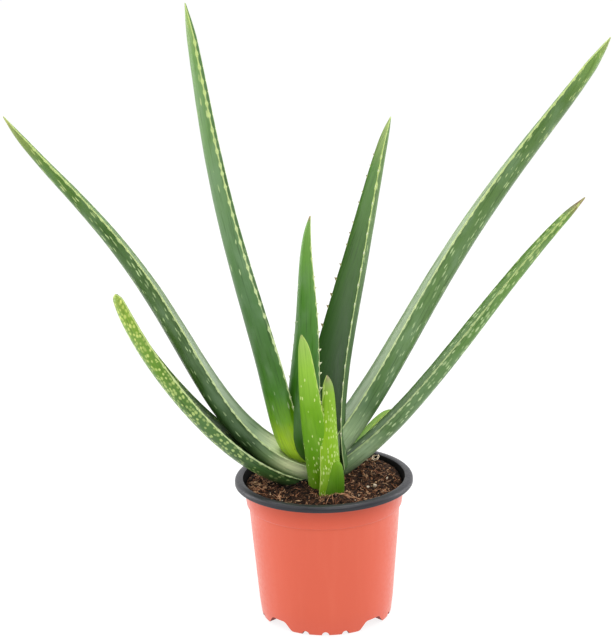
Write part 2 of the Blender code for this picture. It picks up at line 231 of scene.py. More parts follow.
LEAF_ORIGIN = POT_AXIS + Vector((0, 0, SOIL_MIDDLE))
LEAF_STATIONS = 20
CHANNEL_SHARE = 0.35
MARGIN_HALF_THICKNESS = 0.6
TIP_HALF_WIDTH = 0.5
KEEL_POINTS = 30
CHANNEL_POINTS = 24
BEAD_POINTS = 5
BEAD_REACH = 0.35
FINE_STEP = 1.3


def eased(values, share):
    """A smooth curve through values given at equal shares of a leaf's length."""
    last = len(values) - 1
    total = 0.0
    for i, value in enumerate(values):
        weight = 1.0
        for j in range(len(values)):
            if j != i:
                weight *= (share * last - j) / (i - j)
        total += value * weight
    return total


def read(table, share):
    """Straight lines through (share, value) pairs."""
    before = table[0]
    for here in table:
        if share <= here[0]:
            if here[0] == before[0]:
                return here[1]
            part = (share - before[0]) / (here[0] - before[0])
            return before[1] + (here[1] - before[1]) * part
        before = here
    return before[1]


def directions(leaf, share):
    """The way the leaf grows there, its upper side and its width direction."""
    heel_angle, heel_length = leaf.get("heel", (0.0, 1.0))
    heel = heel_angle * exp(-max(share, 0.0) * leaf["length"] / heel_length)
    climb = radians(eased(leaf["climb"], share) - heel)
    heading = radians(eased(leaf["heading"], share))
    roll = radians(eased(leaf["roll"], share))
    level = Vector((cos(heading), sin(heading), 0))
    along = level * cos(climb) + Vector((0, 0, sin(climb)))
    upper = Vector((0, 0, cos(climb))) - level * sin(climb)
    across = along.cross(upper)
    rolled_upper = upper * cos(roll) + across * sin(roll)
    rolled_across = across * cos(roll) - upper * sin(roll)
    return along, rolled_upper, rolled_across


def fine_stations(leaf):
    """(share, place in mm, half width in mm) along the leaf, about every FINE_STEP."""
    length = leaf["length"]
    place = Vector(leaf["base"])
    coarse = []
    for k in range(LEAF_STATIONS + 1):
        share = (k / LEAF_STATIONS) ** 1.3
        along = directions(leaf, share)[0]
        if coarse:
            place = place + (along + coarse[-1][2]) * 0.5 * (share - coarse[-1][0]) * length
        half = max(leaf["width"] / 2 * (1 - share) ** leaf["taper"], TIP_HALF_WIDTH)
        coarse.append((share, place.copy(), along, half))
    fine = []
    root = leaf.get("root", 2.0)
    first = coarse[0]
    for k in range(3, 0, -1):
        back = root * k / 3
        fine.append((-back / length, first[1] - first[2] * back, first[3] * (1 - 0.05 * k)))
    for one, two in zip(coarse, coarse[1:]):
        gap = (two[0] - one[0]) * length
        count = max(2, ceil(gap / FINE_STEP))
        for k in range(count):
            t = k / count
            spot = (
                one[1] * (2 * t**3 - 3 * t**2 + 1)
                + one[2] * gap * (t**3 - 2 * t**2 + t)
                + two[1] * (3 * t**2 - 2 * t**3)
                + two[2] * gap * (t**3 - t**2)
            )
            here = one[0] + (two[0] - one[0]) * t
            half = one[3] + (two[3] - one[3]) * t
            if leaf.get("blunt"):
                half = leaf["width"] / 2 * (1 - here) ** leaf["taper"]
            fine.append((here, spot, half))
    fine.append((1.0, coarse[-1][1], coarse[-1][3]))
    halves = [f[2] for f in fine]
    for _ in range(2 if leaf.get("blunt") else 6):
        smooth = [(a + 2 * b + c) / 4 for a, b, c in zip(halves, halves[1:], halves[2:])]
        halves = [halves[0], *smooth, halves[-1]]
    return [(f[0], f[1], half) for f, half in zip(fine, halves)]


def bead(half, reach, lift, margin, edge):
    """Points of the rounded margin at one edge, -1 or 1."""
    turns = [edge * (pi / 2 - pi * i / (BEAD_POINTS + 1)) for i in range(1, BEAD_POINTS + 1)]
    return [
        (edge * (half + reach * cos(t)), lift + margin * sin(t), 0.5 - 0.5 * sin(t)) for t in turns
    ]


def section(half, keel):
    """Points of the section: (across, up, side) with side 1 on the keel and 0 in the channel."""
    margin = min(MARGIN_HALF_THICKNESS, 0.25 * half)
    reach = min(BEAD_REACH, 0.2 * half)
    lift = 0.5 * keel * half
    outline = []
    for i in range(KEEL_POINTS):
        turn = pi * i / (KEEL_POINTS - 1)
        depth = keel * half * max(sin(turn), 0.0) ** 0.8
        outline.append((half * cos(turn), lift - depth - margin, 1.0))
    outline += bead(half, reach, lift, margin, -1)
    for i in range(CHANNEL_POINTS):
        turn = pi * (1 - i / (CHANNEL_POINTS - 1))
        depth = CHANNEL_SHARE * keel * half * max(sin(turn), 0.0) ** 1.3
        outline.append((half * cos(turn), lift - depth + margin, 0.0))
    return outline + bead(half, reach, lift, margin, 1)


KEEL_MIDDLE = KEEL_POINTS // 2
CHANNEL_MIDDLE = KEEL_POINTS + BEAD_POINTS + CHANNEL_POINTS // 2
LEFT_BEAD = KEEL_POINTS + BEAD_POINTS // 2
RIGHT_BEAD = KEEL_POINTS + BEAD_POINTS + CHANNEL_POINTS + BEAD_POINTS // 2


# per point: share of the length, distance from the margin's line in mm, the line's half width,
# 1 below and 0 above, and the share of places that hold a spot
VALUE_KEYS = ("share", "rim", "line", "under", "spots")
TOOTH_SIDES = 8
TOOTH_LEVELS = ((0.0, 1.0), (0.45, 0.55), (0.8, 0.22))
NOWHERE = [(0, 0.0), (1, 0.0)]


def add_values(values, count, *numbers):
    """Adds the same number for each attribute to count points, in the order of VALUE_KEYS."""
    for key, number in zip(VALUE_KEYS, numbers):
        values[key].extend([number] * count)


def tooth_places(leaf):
    """(distance along, side, height) of the small teeth on both margins, in millimetres."""
    teeth = []
    first, last = leaf.get("teeth", (0.08, 0.93))
    for side in (-1, 1):
        at = leaf["length"] * first + RANDOM.uniform(0, 5)
        while at < leaf["length"] * last:
            fade = 1 - 0.6 * at / leaf["length"]
            teeth.append((at, side, leaf.get("tooth", 1.3) * fade * RANDOM.uniform(0.75, 1.15)))
            at += leaf.get("tooth_pitch", 7.5) * RANDOM.uniform(0.7, 1.35)
    return teeth


def add_tooth(leaf, frame_here, tooth, points, faces, values):
    """Adds one tooth, bent towards the tip, that starts inside the margin."""
    here, place, along, upper, across, outline = frame_here
    at, side, height = tooth
    x, y, _ = outline[RIGHT_BEAD if side > 0 else LEFT_BEAD]
    foot = place + across * (x - side * 0.35) + upper * y + along * (at - here)
    out = (across * side + along * 0.45 + upper * leaf.get("tooth_lift", 0.0)).normalized()
    start = len(points)
    for level, wide in TOOTH_LEVELS:
        lean = along * (0.25 * height * level**2)
        for x, y in circle(TOOTH_SIDES):
            ring = along * (x * height * 0.75) + upper * (y * height * 0.36)
            spot = foot + out * (0.35 + height) * level + lean + ring * wide
            points.append(LEAF_ORIGIN + spot * MM)
    points.append(LEAF_ORIGIN + (foot + out * (0.35 + height) + along * 0.3 * height) * MM)
    add_values(values, 3 * TOOTH_SIDES + 1, min(at / leaf["length"], 1.0), 0.0, 1.0, 0.5, 0.0)
    for level in range(2):
        low = start + level * TOOTH_SIDES
        band(faces, low, low + TOOTH_SIDES, TOOTH_SIDES)
    last, apex = start + 2 * TOOTH_SIDES, start + 3 * TOOTH_SIDES
    for i in range(TOOTH_SIDES):
        faces.append((last + i, last + (i + 1) % TOOTH_SIDES, apex))
    faces.append(tuple(start + i for i in reversed(range(TOOTH_SIDES))))


def leaf_piece(name, leaf, looks):
    """Lofts one leaf with its raised margins and adds its teeth and dots."""
    stations = fine_stations(leaf)
    teeth = tooth_places(leaf)
    seed = Vector((len(name) * 3.1, sum(map(ord, name)) * 0.37, 0))
    points, faces, uv, slots, frames, rounds = [], [], [], [], [], []
    values = {key: [] for key in VALUE_KEYS}
    count = 0
    for share, place, half in stations:
        along, upper, across = directions(leaf, max(share, 0.0))
        at = share * leaf["length"]
        wave = noise.noise(seed + Vector((at / 26, 0, 0)))
        ripple = noise.noise(seed + Vector((at / 9, 7, 0)))
        swell = 1 + 0.012 * wave + 0.006 * ripple
        outline = section(half * swell, leaf["keel"])
        count = len(outline)
        dips = []
        run = [0.0]
        for i, (x, y, side) in enumerate(outline):
            grain = noise.noise(seed + Vector((x / 5, at / 22, side * 9)))
            dips.append(0.10 * grain * min(1.0, half / 6))
            if i:
                run.append(run[-1] + dist(outline[i - 1][:2], (x, y)))
        whole = run[-1] + dist(outline[-1][:2], outline[0][:2])
        near = {-1: 1e9, 1: 1e9}
        for spot, edge, _ in teeth:
            near[edge] = min(near[edge], abs(spot - at))
        for i, (x, y, side) in enumerate(outline):
            spot = place + across * x + upper * (y + dips[i])
            points.append(LEAF_ORIGIN + spot * MM)
            left = abs(run[i] - run[LEFT_BEAD])
            right = min(abs(run[i] - run[RIGHT_BEAD]), whole - abs(run[i] - run[RIGHT_BEAD]))
            edge = -1 if left < right else 1
            nearest = min(left, right)
            inset = read(leaf.get("margin_inset", NOWHERE), share)
            if edge > 0 or side < 0.5:
                inset = 0.0
            line = 0.42 + 0.75 * exp(-((near[edge] / 1.5) ** 2))
            under = 0.0 if nearest < inset else side
            density = read(leaf.get("spots" if side > 0.5 else "spots_above", NOWHERE), share)
            add_values(values, 1, max(share, 0.0), abs(nearest - inset), line, under, density)
        frames.append((at, place, along, upper, across, outline))
        rounds.append((run, whole))
    for k in range(len(stations) - 1):
        band(faces, k * count, (k + 1) * count, count)
        for i in range(count):
            j = (i + 1) % count
            ends = []
            for run, whole in (rounds[k], rounds[k + 1]):
                first = run[i] - run[KEEL_MIDDLE] - (whole if i > CHANNEL_MIDDLE else 0.0)
                ends.append((first, first + (run[j] if j else whole) - run[i]))
            low, high = frames[k][0], frames[k + 1][0]
            uv += [(ends[0][0], low), (ends[0][1], low), (ends[1][1], high), (ends[1][0], high)]
    for end, (at, place, along, upper, across, outline) in ((0, frames[0]), (-1, frames[-1])):
        ring = (len(stations) - 1) * count if end else 0
        middle = sum((Vector((x, y)) for x, y, _ in outline), Vector((0, 0))) / count
        spot = place + across * middle.x + upper * middle.y + along * (0.5 if end else -0.3)
        apex = len(points)
        points.append(LEAF_ORIGIN + spot * MM)
        add_values(values, 1, 1.0 if end else 0.0, 1.0, 0.4, 1.0, 0.0)
        for i in range(count):
            j = (i + 1) % count
            faces.append((ring + i, ring + j, apex) if end else (ring + j, ring + i, apex))
            uv += [(0.0, at)] * 3
    slots += [0] * len(faces)

    def frame_near(at):
        return min(frames, key=lambda here: abs(here[0] - at))

    for tooth in teeth:
        at, side, _ = tooth
        add_tooth(leaf, frame_near(at), tooth, points, faces, values)
        slots += [2 if side == leaf.get("brown_side") else 1] * (3 * TOOTH_SIDES + 1)
        uv += [(0.0, at)] * (12 * TOOTH_SIDES)
    for at, degrees, size in leaf.get("dots", ()):
        _, place, along, upper, across, outline = frame_near(at)
        x, y, _ = outline[round((KEEL_POINTS - 1) * degrees / 180)]
        middle = place + across * x + upper * y

        def dot_place(co):
            spot = across * co.x + upper * co.y * 0.7 + along * co.z * 1.3
            return LEAF_ORIGIN + (middle + spot) * MM

        corners, sides = add_ball(points, faces, dot_place, radius=size)
        add_values(values, corners, at / leaf["length"], 0.0, 1.0, 0.5, 0.0)
        slots += [1] * sides
        uv += [(0.0, at)] * (3 * sides)
    piece = mesh_piece(name, points, faces, looks, values, slots, uv)
    face_outward(piece.data)
    return piece


def leaf_material(name, look):
    """Skin of one leaf: a colour that changes along it, veins, pale spots and a pale margin."""
    made, tree, shader = new_material(name, 0.42, look.get("specular", 0.32))
    share = attribute(tree, "share")
    under = attribute(tree, "under")
    rim = attribute(tree, "rim")
    place = node(tree, "ShaderNodeUVMap", uv_map="leaf_mm").outputs[0]
    below = ramp(tree, share, *look["under"])
    above = ramp(tree, share, *look["above"])
    base = mix(tree, step(tree, under, 0.35, 0.65), above, below)
    veins = noise_at(tree, stretched(tree, place, (1.1, 0.018, 1.0)), 1.0, 3.0)
    cloud = noise_at(tree, stretched(tree, place, (0.09, 0.035, 1.0)), 1.0, 3.0)
    base = mix(tree, step(tree, veins, 0.35, 0.75, 0.0, 0.22), base, srgb(*look["vein"]))
    base = mix(tree, step(tree, cloud, 0.40, 0.72, 0.0, look["bloom"]), base, srgb(*look["waxy"]))
    streaks = noise_at(tree, stretched(tree, place, (0.75, 0.03, 1.0)), 1.0, 4.0, 0.6)
    dark = step(tree, streaks, 0.5, 0.75, 0.0, look["streaks"])
    base = mix(tree, dark, base, srgb(120, 140, 96), "MULTIPLY")
    scars = noise_at(tree, stretched(tree, place, (1.3, 0.16, 1.0)), 1.0, 2.0)
    base = mix(tree, step(tree, scars, 0.7, 0.76, 0.0, look["scars"]), base, srgb(60, 84, 44))
    pitch_across, pitch_along = look["spot_pitch"]
    shift = noise_at(tree, stretched(tree, place, (0.6, 0.4, 1.0)), 1.0, 2.0)
    shift = node(tree, "ShaderNodeCombineXYZ", {0: shift, 1: shift}).outputs[0]
    bend = node(tree, "ShaderNodeVectorMath", {0: place, 1: shift}, operation="ADD").outputs[0]
    grid = stretched(tree, bend, (1 / pitch_across, 1 / pitch_along, 1.0))
    inputs = {"Vector": grid, "Scale": 1.0, "Randomness": 0.85}
    cells = node(tree, "ShaderNodeTexVoronoi", inputs, voronoi_dimensions="2D")
    chance = node(tree, "ShaderNodeSeparateColor", {0: cells.outputs["Color"]})
    size = calc(tree, "MULTIPLY_ADD", chance.outputs[1], 0.2, look["spot_size"])
    reach = calc(tree, "DIVIDE", cells.outputs["Distance"], size)
    inside = step(tree, reach, 1.25, 0.55)
    chosen = calc(tree, "LESS_THAN", chance.outputs[0], attribute(tree, "spots"))
    spots = calc(tree, "MULTIPLY", inside, chosen)
    strength = step(tree, chance.outputs[2], 0.0, 1.0, 0.4, 1.0)
    spots = calc(tree, "MULTIPLY", spots, strength)
    base = mix(tree, spots, base, ramp(tree, share, *look["spot"]))
    beside = calc(tree, "SUBTRACT", attribute(tree, "line"), rim)
    line = step(tree, beside, -0.15, 0.2)
    wear = noise_at(tree, stretched(tree, place, (0.2, 0.5, 1.0)), 1.0, 2.0)
    worn = step(tree, wear, 0.2, 0.6, look["line"] * 0.5, look["line"])
    line = calc(tree, "MULTIPLY", line, worn)
    base = mix(tree, line, base, ramp(tree, share, *look["margin"]))
    rough = step(tree, cloud, 0.3, 0.7, look["rough"], look["rough"] + 0.12)
    tree.links.new(rough, shader.inputs["Roughness"])
    pores = noise_at(tree, stretched(tree, place, (3.0, 1.6, 1.0)), 1.0, 4.0)
    height = calc(tree, "MULTIPLY_ADD", veins, 0.6, pores)
    height = calc(tree, "ADD", height, calc(tree, "MULTIPLY", spots, 0.5))
    surface(tree, shader, base, height, 0.00012, 0.7)
    return made


def tooth_material(name, colour, tip):
    made, tree, shader = new_material(name, 0.45, 0.4)
    grain = noise_at(tree, object_place(tree), 900.0, 2.0)
    surface(tree, shader, mix(tree, grain, srgb(*colour), srgb(*tip)), grain, 0.00005, 0.5)
    return made


PALE_MARGIN = ((0.0, 196, 216, 150), (0.3, 206, 224, 164), (0.9, 196, 216, 132))
PALE_SPOT = ((0.0, 176, 200, 150), (0.6, 176, 202, 140), (1.0, 190, 205, 120))

OLD_LEAF = {
    "vein": (64, 100, 58), "waxy": (132, 160, 126), "bloom": 0.25, "streaks": 0.6, "scars": 0.7,
    "spot": PALE_SPOT, "spot_pitch": (1.5, 8.0), "spot_size": 0.17, "margin": PALE_MARGIN,
    "line": 1.0, "rough": 0.3,
}

FRESH_LEAF = {
    **OLD_LEAF, "vein": (96, 150, 40), "waxy": (160, 196, 90),
    "spot": ((0.0, 206, 226, 140), (1.0, 210, 228, 140)), "spot_pitch": (1.7, 3.6),
    "spot_size": 0.2, "margin": ((0.0, 176, 208, 90), (1.0, 190, 214, 110)), "rough": 0.46,
    "specular": 0.18, "streaks": 0.3, "scars": 0.0,
}

LOOKS = {
    "leaf_centre_young": {
        **OLD_LEAF,
        "under": (
            (0.0, 44, 94, 0), (0.2, 54, 106, 6), (0.4, 60, 116, 26), (0.7, 86, 140, 52),
            (0.85, 110, 162, 66), (0.975, 120, 166, 76), (1.0, 170, 120, 100),
        ),
        "above": ((0.0, 80, 120, 50), (0.5, 88, 130, 74), (1.0, 110, 150, 84)), "bloom": 0.3,
    },
    "leaf_right_inner": {
        **OLD_LEAF, "under": ((0.0, 90, 126, 70), (0.4, 104, 132, 92), (1.0, 120, 150, 90)),
        # the very dark upper side is partly the leaf's own dark green and partly painted shade in
        # its channel
        "above": (
            (0.0, 24, 58, 0), (0.35, 34, 76, 0), (0.6, 56, 96, 24), (0.85, 80, 124, 46),
            (1.0, 160, 180, 104),
        ),
        "vein": (30, 60, 22), "waxy": (84, 112, 72), "bloom": 0.12, "rough": 0.4,
        "specular": 0.2,
    },
    "leaf_left_tall": {
        **OLD_LEAF,
        "under": (
            (0.0, 214, 244, 76), (0.075, 198, 236, 40), (0.13, 110, 166, 0), (0.19, 62, 122, 0),
            (0.27, 56, 108, 16), (0.42, 80, 122, 66), (0.65, 104, 142, 86), (0.9, 112, 156, 76),
            (1.0, 160, 190, 100),
        ),
        "above": ((0.0, 120, 160, 50), (0.3, 66, 104, 50), (1.0, 92, 130, 74)), "bloom": 0.3,
    },
    "leaf_right_long": {
        **OLD_LEAF,
        "under": (
            (0.0, 196, 216, 176), (0.075, 164, 190, 142), (0.14, 70, 106, 50), (0.3, 96, 132, 70),
            (0.55, 92, 126, 66), (0.85, 82, 116, 48), (0.96, 120, 156, 70), (1.0, 170, 180, 110),
        ),
        # the pale grey-green upper side is partly the leaf's own colour and partly a painted
        # reflection of the bright surroundings
        "above": (
            (0.0, 140, 156, 128), (0.25, 156, 178, 140), (0.5, 178, 196, 162), (1.0, 120, 152, 92),
        ),
        "bloom": 0.35,
    },
    "leaf_left_long": {
        **OLD_LEAF,
        "under": (
            (0.0, 248, 252, 212), (0.07, 236, 246, 190), (0.115, 130, 158, 106), (0.16, 62, 90, 48),
            (0.28, 58, 90, 38), (0.5, 74, 106, 50), (0.7, 60, 98, 24), (0.88, 88, 126, 44),
            (0.97, 150, 166, 84), (1.0, 186, 182, 96),
        ),
        # past the pale base, the grey-green upper side is partly the leaf's own colour and partly a
        # painted reflection of the bright surroundings
        "above": (
            (0.0, 250, 254, 218), (0.1, 236, 244, 200), (0.16, 124, 148, 108),
            (0.35, 176, 192, 166), (0.7, 120, 150, 96), (1.0, 116, 146, 76),
        ),
        "bloom": 0.3,
    },
    "leaf_right_low": {
        **OLD_LEAF,
        "under": (
            (0.0, 110, 138, 94), (0.1, 168, 194, 150), (0.18, 92, 126, 70), (0.35, 92, 128, 70),
            (0.6, 98, 140, 60), (0.93, 110, 148, 64), (0.975, 150, 130, 84), (1.0, 136, 76, 56),
        ),
        "above": (
            (0.0, 70, 96, 62), (0.3, 90, 122, 68), (0.6, 88, 128, 52), (0.93, 104, 140, 56),
            (0.98, 140, 110, 74), (1.0, 130, 70, 52),
        ),
        "line": 0.7, "spot_pitch": (1.9, 6.0), "spot_size": 0.22,
    },
    "leaf_left_low": {
        **OLD_LEAF,
        "under": (
            (0.0, 62, 92, 46), (0.2, 64, 98, 46), (0.5, 72, 114, 40), (0.75, 104, 148, 32),
            (0.92, 134, 172, 46), (1.0, 150, 176, 70),
        ),
        "above": ((0.0, 80, 108, 70), (0.5, 96, 128, 76), (1.0, 140, 172, 70)),
        "spot": ((0.0, 160, 186, 120), (0.6, 188, 210, 120), (1.0, 214, 226, 116)),
        "spot_pitch": (2.4, 3.6), "spot_size": 0.26, "bloom": 0.12,
    },
    "front_offset_leaf_tall": {
        **FRESH_LEAF,
        "under": (
            (0.0, 100, 148, 0), (0.3, 92, 150, 0), (0.55, 112, 166, 20), (0.8, 150, 198, 64),
            (0.97, 160, 196, 96), (1.0, 168, 180, 110),
        ),
        "above": ((0.0, 100, 146, 30), (1.0, 150, 190, 80)),
    },
    "front_offset_leaf_short": {
        **FRESH_LEAF,
        "under": (
            (0.0, 120, 168, 0), (0.5, 136, 182, 20), (0.85, 132, 176, 42), (0.95, 140, 160, 90),
            (1.0, 150, 130, 110),
        ),
        "above": ((0.0, 110, 160, 30), (1.0, 140, 160, 80)),
    },
    "front_offset_sheath": {
        **FRESH_LEAF, "under": ((0.0, 60, 104, 0), (0.5, 80, 130, 0), (1.0, 112, 158, 20)),
        "above": ((0.0, 90, 130, 20), (1.0, 110, 150, 30)), "bloom": 0.1,
    },
    "back_offset_leaf": {
        **FRESH_LEAF, "under": ((0.0, 86, 124, 40), (0.6, 104, 140, 56), (1.0, 140, 170, 80)),
        "above": ((0.0, 90, 130, 50), (1.0, 130, 164, 70)), "bloom": 0.2,
    },
}

# base is from the pot's axis and the middle of the soil. climb is the angle over the horizontal at
# four equal shares of the length, heading the compass direction from +X, keel the depth of the
# underside over the half width, and heel turns the first part down. spots gives the share of
# places that hold a pale spot, along the underside, and spots_above along the upper side.
LEAVES = {
    "leaf_centre_young": {
        "base": (-5.8, 4, 12.5), "length": 176, "width": 28.4, "taper": 0.66, "keel": 0.6,
        "climb": (20, 97, 91.8, 116.5), "heading": (248, 233), "roll": (4, 0),
        "dots": [(130, 36, 0.45), (128, 48, 0.3), (105, 52, 0.35)],
        "tooth": 2.5, "tooth_pitch": 9.5, "tooth_lift": 0.2,
    },
    "leaf_right_inner": {
        "base": (3.5, 10, 7.2), "length": 237, "width": 36, "taper": 0.51, "keel": 0.69,
        "climb": (99, 70, 71, 67), "heading": (54, 39), "roll": (-2, -23),
        "spots": [(0, 0.1), (1, 0.2)], "tooth": 2.7, "tooth_pitch": 10.5,
        "tooth_lift": 0.75, "brown_side": -1,
    },
    "leaf_left_tall": {
        "base": (-12.7, 8, 11.2), "length": 330, "width": 24, "taper": 0.38, "keel": 0.59,
        "climb": (91, 72.5, 78, 80.5), "heading": (227, 217), "roll": (3, -5), "heel": (80, 16),
        "spots": [(0, 0.04), (0.3, 0.02), (0.7, 0.05), (1, 0.12)],
        "margin_inset": [(0, 0.0), (0.25, 0.0), (0.45, 2.1), (0.9, 2.1), (1, 0.6)], "tooth": 1.1,
        "tooth_pitch": 8,
    },
    "leaf_right_long": {
        "base": (1.3, 8, 10.2), "length": 337, "width": 31.5, "taper": 0.29, "keel": 0.98,
        "climb": (45, 59.5, 53, 57), "heading": (12, 4), "roll": (-7, -16),
        "spots": [(0, 0.1), (0.15, 0.3), (0.6, 0.3), (0.8, 0.4), (1, 0.3)],
        "spots_above": [(0, 0.03), (1, 0.05)], "tooth": 0.9, "tooth_pitch": 9,
    },
    "leaf_left_long": {
        "base": (-5, 2, 4.2), "length": 320, "width": 29.5, "taper": 0.48, "keel": 1.0,
        "climb": (8, 62, 54.5, 57.5), "heading": (184.5, 185.5), "roll": (-6, 7),
        "spots": [(0, 0.0), (0.12, 0.05), (0.3, 0.35), (0.7, 0.45), (0.9, 0.3), (1, 0.1)],
        "spots_above": [(0, 0.0), (1, 0.05)], "tooth": 0.8, "tooth_pitch": 9,
    },
    "leaf_right_low": {
        "base": (8.5, 8, 0.2), "length": 249, "width": 22.5, "taper": 0.44, "keel": 1.0,
        "climb": (31.5, 48, 50.5, 43.5), "heading": (10, 8), "roll": (-14, 0),
        "spots": [(0, 0.1), (0.1, 0.4), (0.3, 0.6), (0.9, 0.6), (0.96, 0.2), (1, 0.1)],
        "spots_above": [(0, 0.05), (0.4, 0.3), (0.9, 0.6), (1, 0.1)], "tooth": 0.8,
        "tooth_pitch": 8,
    },
    "leaf_left_low": {
        "base": (-8, 0, -1.8), "length": 193, "width": 28, "taper": 0.24, "keel": 0.84,
        "climb": (7, 43, 56.5, 72.5), "heading": (189, 187), "roll": (-11, 12), "blunt": True,
        "spots": [(0, 0.1), (0.2, 0.5), (0.35, 0.75), (0.7, 0.8), (1, 0.95)],
        "spots_above": [(0, 0.1), (0.5, 0.4), (1, 0.7)], "tooth": 0.7, "tooth_pitch": 9,
    },
    "front_offset_leaf_tall": {
        "base": (-1, -22.5, -2.2), "length": 114, "width": 20, "taper": 0.4, "keel": 0.55,
        "climb": (80, 77.5, 83, 81), "heading": (238, 225), "roll": (17, 15), "root": 7.0,
        "spots": [(0, 0.3), (0.35, 0.2), (0.5, 0.04), (0.7, 0.1), (0.8, 0.0), (1, 0.0)],
        "tooth": 0.5, "tooth_pitch": 8,
    },
    "front_offset_leaf_short": {
        "base": (4.5, -29, -1.2), "length": 81, "width": 16.5, "taper": 0.31, "keel": 0.6,
        "climb": (79, 93, 89, 104), "heading": (310, 320), "roll": (-1, -2), "root": 7.0,
        "spots": [(0, 0.6), (0.5, 0.65), (0.8, 0.3), (1, 0.0)],
        "tooth": 0.4, "tooth_pitch": 7,
    },
    "front_offset_sheath": {
        "base": (7.5, -30, -3.2), "length": 25, "width": 17, "taper": 0.35, "keel": 0.6,
        "climb": (84, 86, 88, 92), "heading": (318, 322), "roll": (0, -18), "root": 6.0,
        "teeth": (1.0, 1.0),
    },
    "back_offset_leaf": {
        "base": (19, 28, 0.2), "length": 46, "width": 9, "taper": 0.3, "keel": 0.7,
        "climb": (69, 53, 43, 21), "heading": (20, 15), "roll": (-3, 1), "root": 5.0,
        "spots": [(0, 0.05), (1, 0.1)], "tooth": 0.4, "tooth_pitch": 6,
    },
}


def build_leaves():
    pale = tooth_material("tooth_pale", (214, 222, 176), (230, 230, 206))
    brown = tooth_material("tooth_brown", (112, 96, 58), (150, 128, 88))
    for name, leaf in LEAVES.items():
        skin = leaf_material("skin_" + name, LOOKS[name])
        piece = leaf_piece("fine_" + name, leaf, [skin, pale, brown])
        settle(piece, "aloe_leaf_fresh" if "offset" in name else "aloe_leaf", name)


def dress_stems():
    """The stems keep their CAD shape, which the leaf bases all but hide."""
    made, tree, shader = new_material("stem_flesh_fine", 0.55, 0.3)
    place = object_place(tree)
    rings = noise_at(tree, stretched(tree, place, (60.0, 60.0, 900.0)), 1.0, 3.0)
    colour = mix(tree, step(tree, rings, 0.35, 0.7), srgb(150, 168, 92), srgb(196, 196, 140))
    surface(tree, shader, colour, rings, 0.0004)
    for name in ("main_stem", "front_offset_stem", "back_offset_stem"):
        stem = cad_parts[name]
        for i in range(len(stem.data.materials)):
            stem.data.materials[i] = made


# Pot

POT_TURNS = 240
FOOT_COUNT = 4
FOOT_TURN = -1.8
FOOT_HEIGHT = 6.5
BASE_RADIUS = 44.3
FOOT_RING_WIDTH = 8.5
GAP_BOTTOM_WIDTH = 0.51 * BASE_RADIUS
GAP_TOP_WIDTH = 0.27 * BASE_RADIUS
NOTCH_RADIUS = 2.4
NOTCH_AXIS_HEIGHT = 0.3
NOTCH_SPREAD = 17.5

CUT_NEAR, CUT_FAR = BASE_RADIUS - FOOT_RING_WIDTH - 4, BASE_RADIUS + 8

# (radius, height) in millimetres: the outside down to the axis, the inside up from it, and the rim
POT_OUTSIDE = [
    (60.0, 93.8), (59.86, 93.64), (59.6, 93.6), (59.2, 93.6), (59.06, 93.72), (58.95, 95.1),
    (58.6, 95.5), (57.8, 95.6), (56.2, 95.6), (55.5, 95.5), (55.0, 95.15), (54.6, 94.6),
    (54.5, 94.0), (53.4, 86.9), (52.45, 79.75), (52.3, 79.3), (51.95, 78.95), (51.3, 78.7),
    (51.05, 78.45), (50.95, 78.0), (49.2, 55.0), (47.4, 33.0), (45.65, 11.6), (45.5, 10.4),
    (45.2, 8.0), (44.4, 1.6), (44.25, 0.9), (44.0, 0.35), (43.5, 0.05), (43.0, 0.0), (37.1, 0.0),
    (36.6, 0.05), (36.1, 0.35), (35.8, 0.9), (35.0, 6.3), (34.6, 6.5), (0.0, 6.5),
]
POT_INSIDE = [
    (0.0, 7.5), (36.0, 7.5), (36.7, 7.2), (42.4, 7.2), (43.6, 8.0), (44.6, 11.6), (46.4, 33.0),
    (48.2, 55.0), (49.95, 78.0), (50.1, 78.8), (51.3, 79.4), (53.5, 94.4), (54.2, 96.4),
    (54.5, 97.0), (54.9, 97.4), (55.4, 97.6),
]
RIM_TOP = [
    (56.2, 97.6), (57.2, 97.55), (58.2, 97.35), (59.0, 97.0), (59.5, 96.5), (59.85, 95.9),
    (60.0, 95.2),
]


# where the two plastics and the lining meet
BODY, RIM, LINING = 0, 1, 2
POT_FLOOR = 7.0
FLANGE_HEIGHT = 95.0
WALL_RADIUS = 55.5
LINING_HEIGHT = 96.9
LINING_RADIUS = 55.0
SHARP_ANGLE = radians(38)


def turned_mesh(profile, turns):
    """A bmesh of a closed profile turned round Z. The first and last points lie on the axis."""
    bm = bmesh.new()
    rings = []
    for radius, height in profile:
        if radius == 0.0:
            rings.append([bm.verts.new((0, 0, height * MM))])
            continue
        rings.append([bm.verts.new((x, y, height * MM)) for x, y in circle(turns, radius * MM)])
    for one, two in zip(rings, rings[1:]):
        for i in range(turns):
            j = (i + 1) % turns
            corners = []
            for ring, at in ((one, i), (one, j), (two, j), (two, i)):
                vert = ring[at] if len(ring) > 1 else ring[0]
                if vert not in corners:
                    corners.append(vert)
            bm.faces.new(corners)
    bmesh.ops.recalc_face_normals(bm, faces=bm.faces)
    return bm


def cutter_object(name, bm):
    bmesh.ops.recalc_face_normals(bm, faces=bm.faces)
    # the cut faces take the painted shade of the recesses
    return add_object(name, mesh_of(name, bm, recess_painted_shade()))


def outward(feet, degrees=0.0):
    """The direction of a place round the pot, counted in feet and degrees from the front foot."""
    turn = radians(360 * feet / FOOT_COUNT + FOOT_TURN + degrees - 90)
    return Vector((cos(turn), sin(turn), 0))


